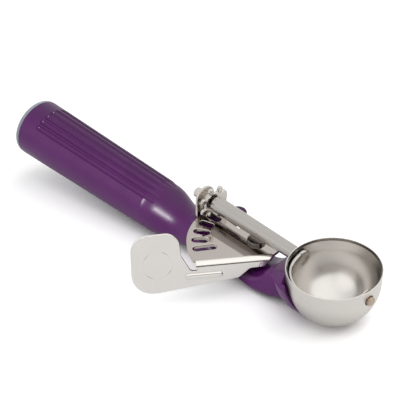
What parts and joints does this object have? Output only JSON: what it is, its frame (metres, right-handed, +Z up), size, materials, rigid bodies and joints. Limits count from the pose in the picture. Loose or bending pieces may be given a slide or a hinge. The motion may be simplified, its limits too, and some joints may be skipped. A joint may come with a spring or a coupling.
{
  "type": "lever ice cream scoop",
  "caption": "Portion scoop: pressing the side lever turns a toothed sector and pinion, which sweep a curved wiper blade round the inside of a round steel bowl.",
  "frame": {"origin": "bottom centre of the bounding box, on the surface that the scoop lies on", "axes": "+X from the handle's end towards the bowl, +Y away from the thumb paddle, +Z up, out of the bowl"},
  "size_m": [0.2194, 0.0742, 0.0375],
  "materials": {
    "purple_plastic": "satin moulded plastic, fine wear on the ribs",
    "grey_plastic": "satin moulded plastic",
    "bowl_steel": "polished stainless steel with fine scratches",
    "lever_steel": "stamped stainless steel, brushed paddle and polished sector",
    "spindle_steel": "turned and polished stainless steel",
    "spring_steel": "drawn spring wire",
    "strap_steel": "plain rolled stainless strap",
    "bronze": "sintered bronze bush"
  },
  "bodies": {
    "frame": {"bowl": "bowl_steel", "shaft_tube": "bowl_steel", "front_bush": "bronze", "rear_bush": "bronze", "bearing_bracket": "lever_steel", "bracket_bush": "bronze", "pivot_screw": "spindle_steel", "pivot_washer": "bronze", "pivot_insert": "bronze", "return_spring": "spring_steel", "core_strap": "strap_steel", "handle_frame": "purple_plastic", "end_cap": "grey_plastic"},
    "spindle": {"spindle_rod": "spindle_steel", "wiper_blade": "spindle_steel", "front_pin": "spindle_steel", "pinion": "spindle_steel", "pinion_spacer": "spindle_steel", "thrust_washer": "bronze"},
    "lever": {"lever": "lever_steel"}
  },
  "joints": [
    {"name": "lever_press", "type": "hinge", "parent": "frame", "child": "lever", "pos_m": [0.03976, 0.01655, 0.01933], "axis": [-0.1203, 0, -0.9927], "range_deg": [0, 45], "stiffness_Nm_per_rad": 0.5, "springref_deg": -28.65},
    {"name": "wiper_turn", "type": "hinge", "parent": "frame", "child": "spindle", "pos_m": [0.08737, 0.01605, 0.02077], "axis": [0.9927, 0, -0.1203], "range_deg": [0, 175.9]}
  ],
  "couplings": [
    {"joint": "wiper_turn", "follows": "lever_press", "ratio": 3.9001}
  ]
}
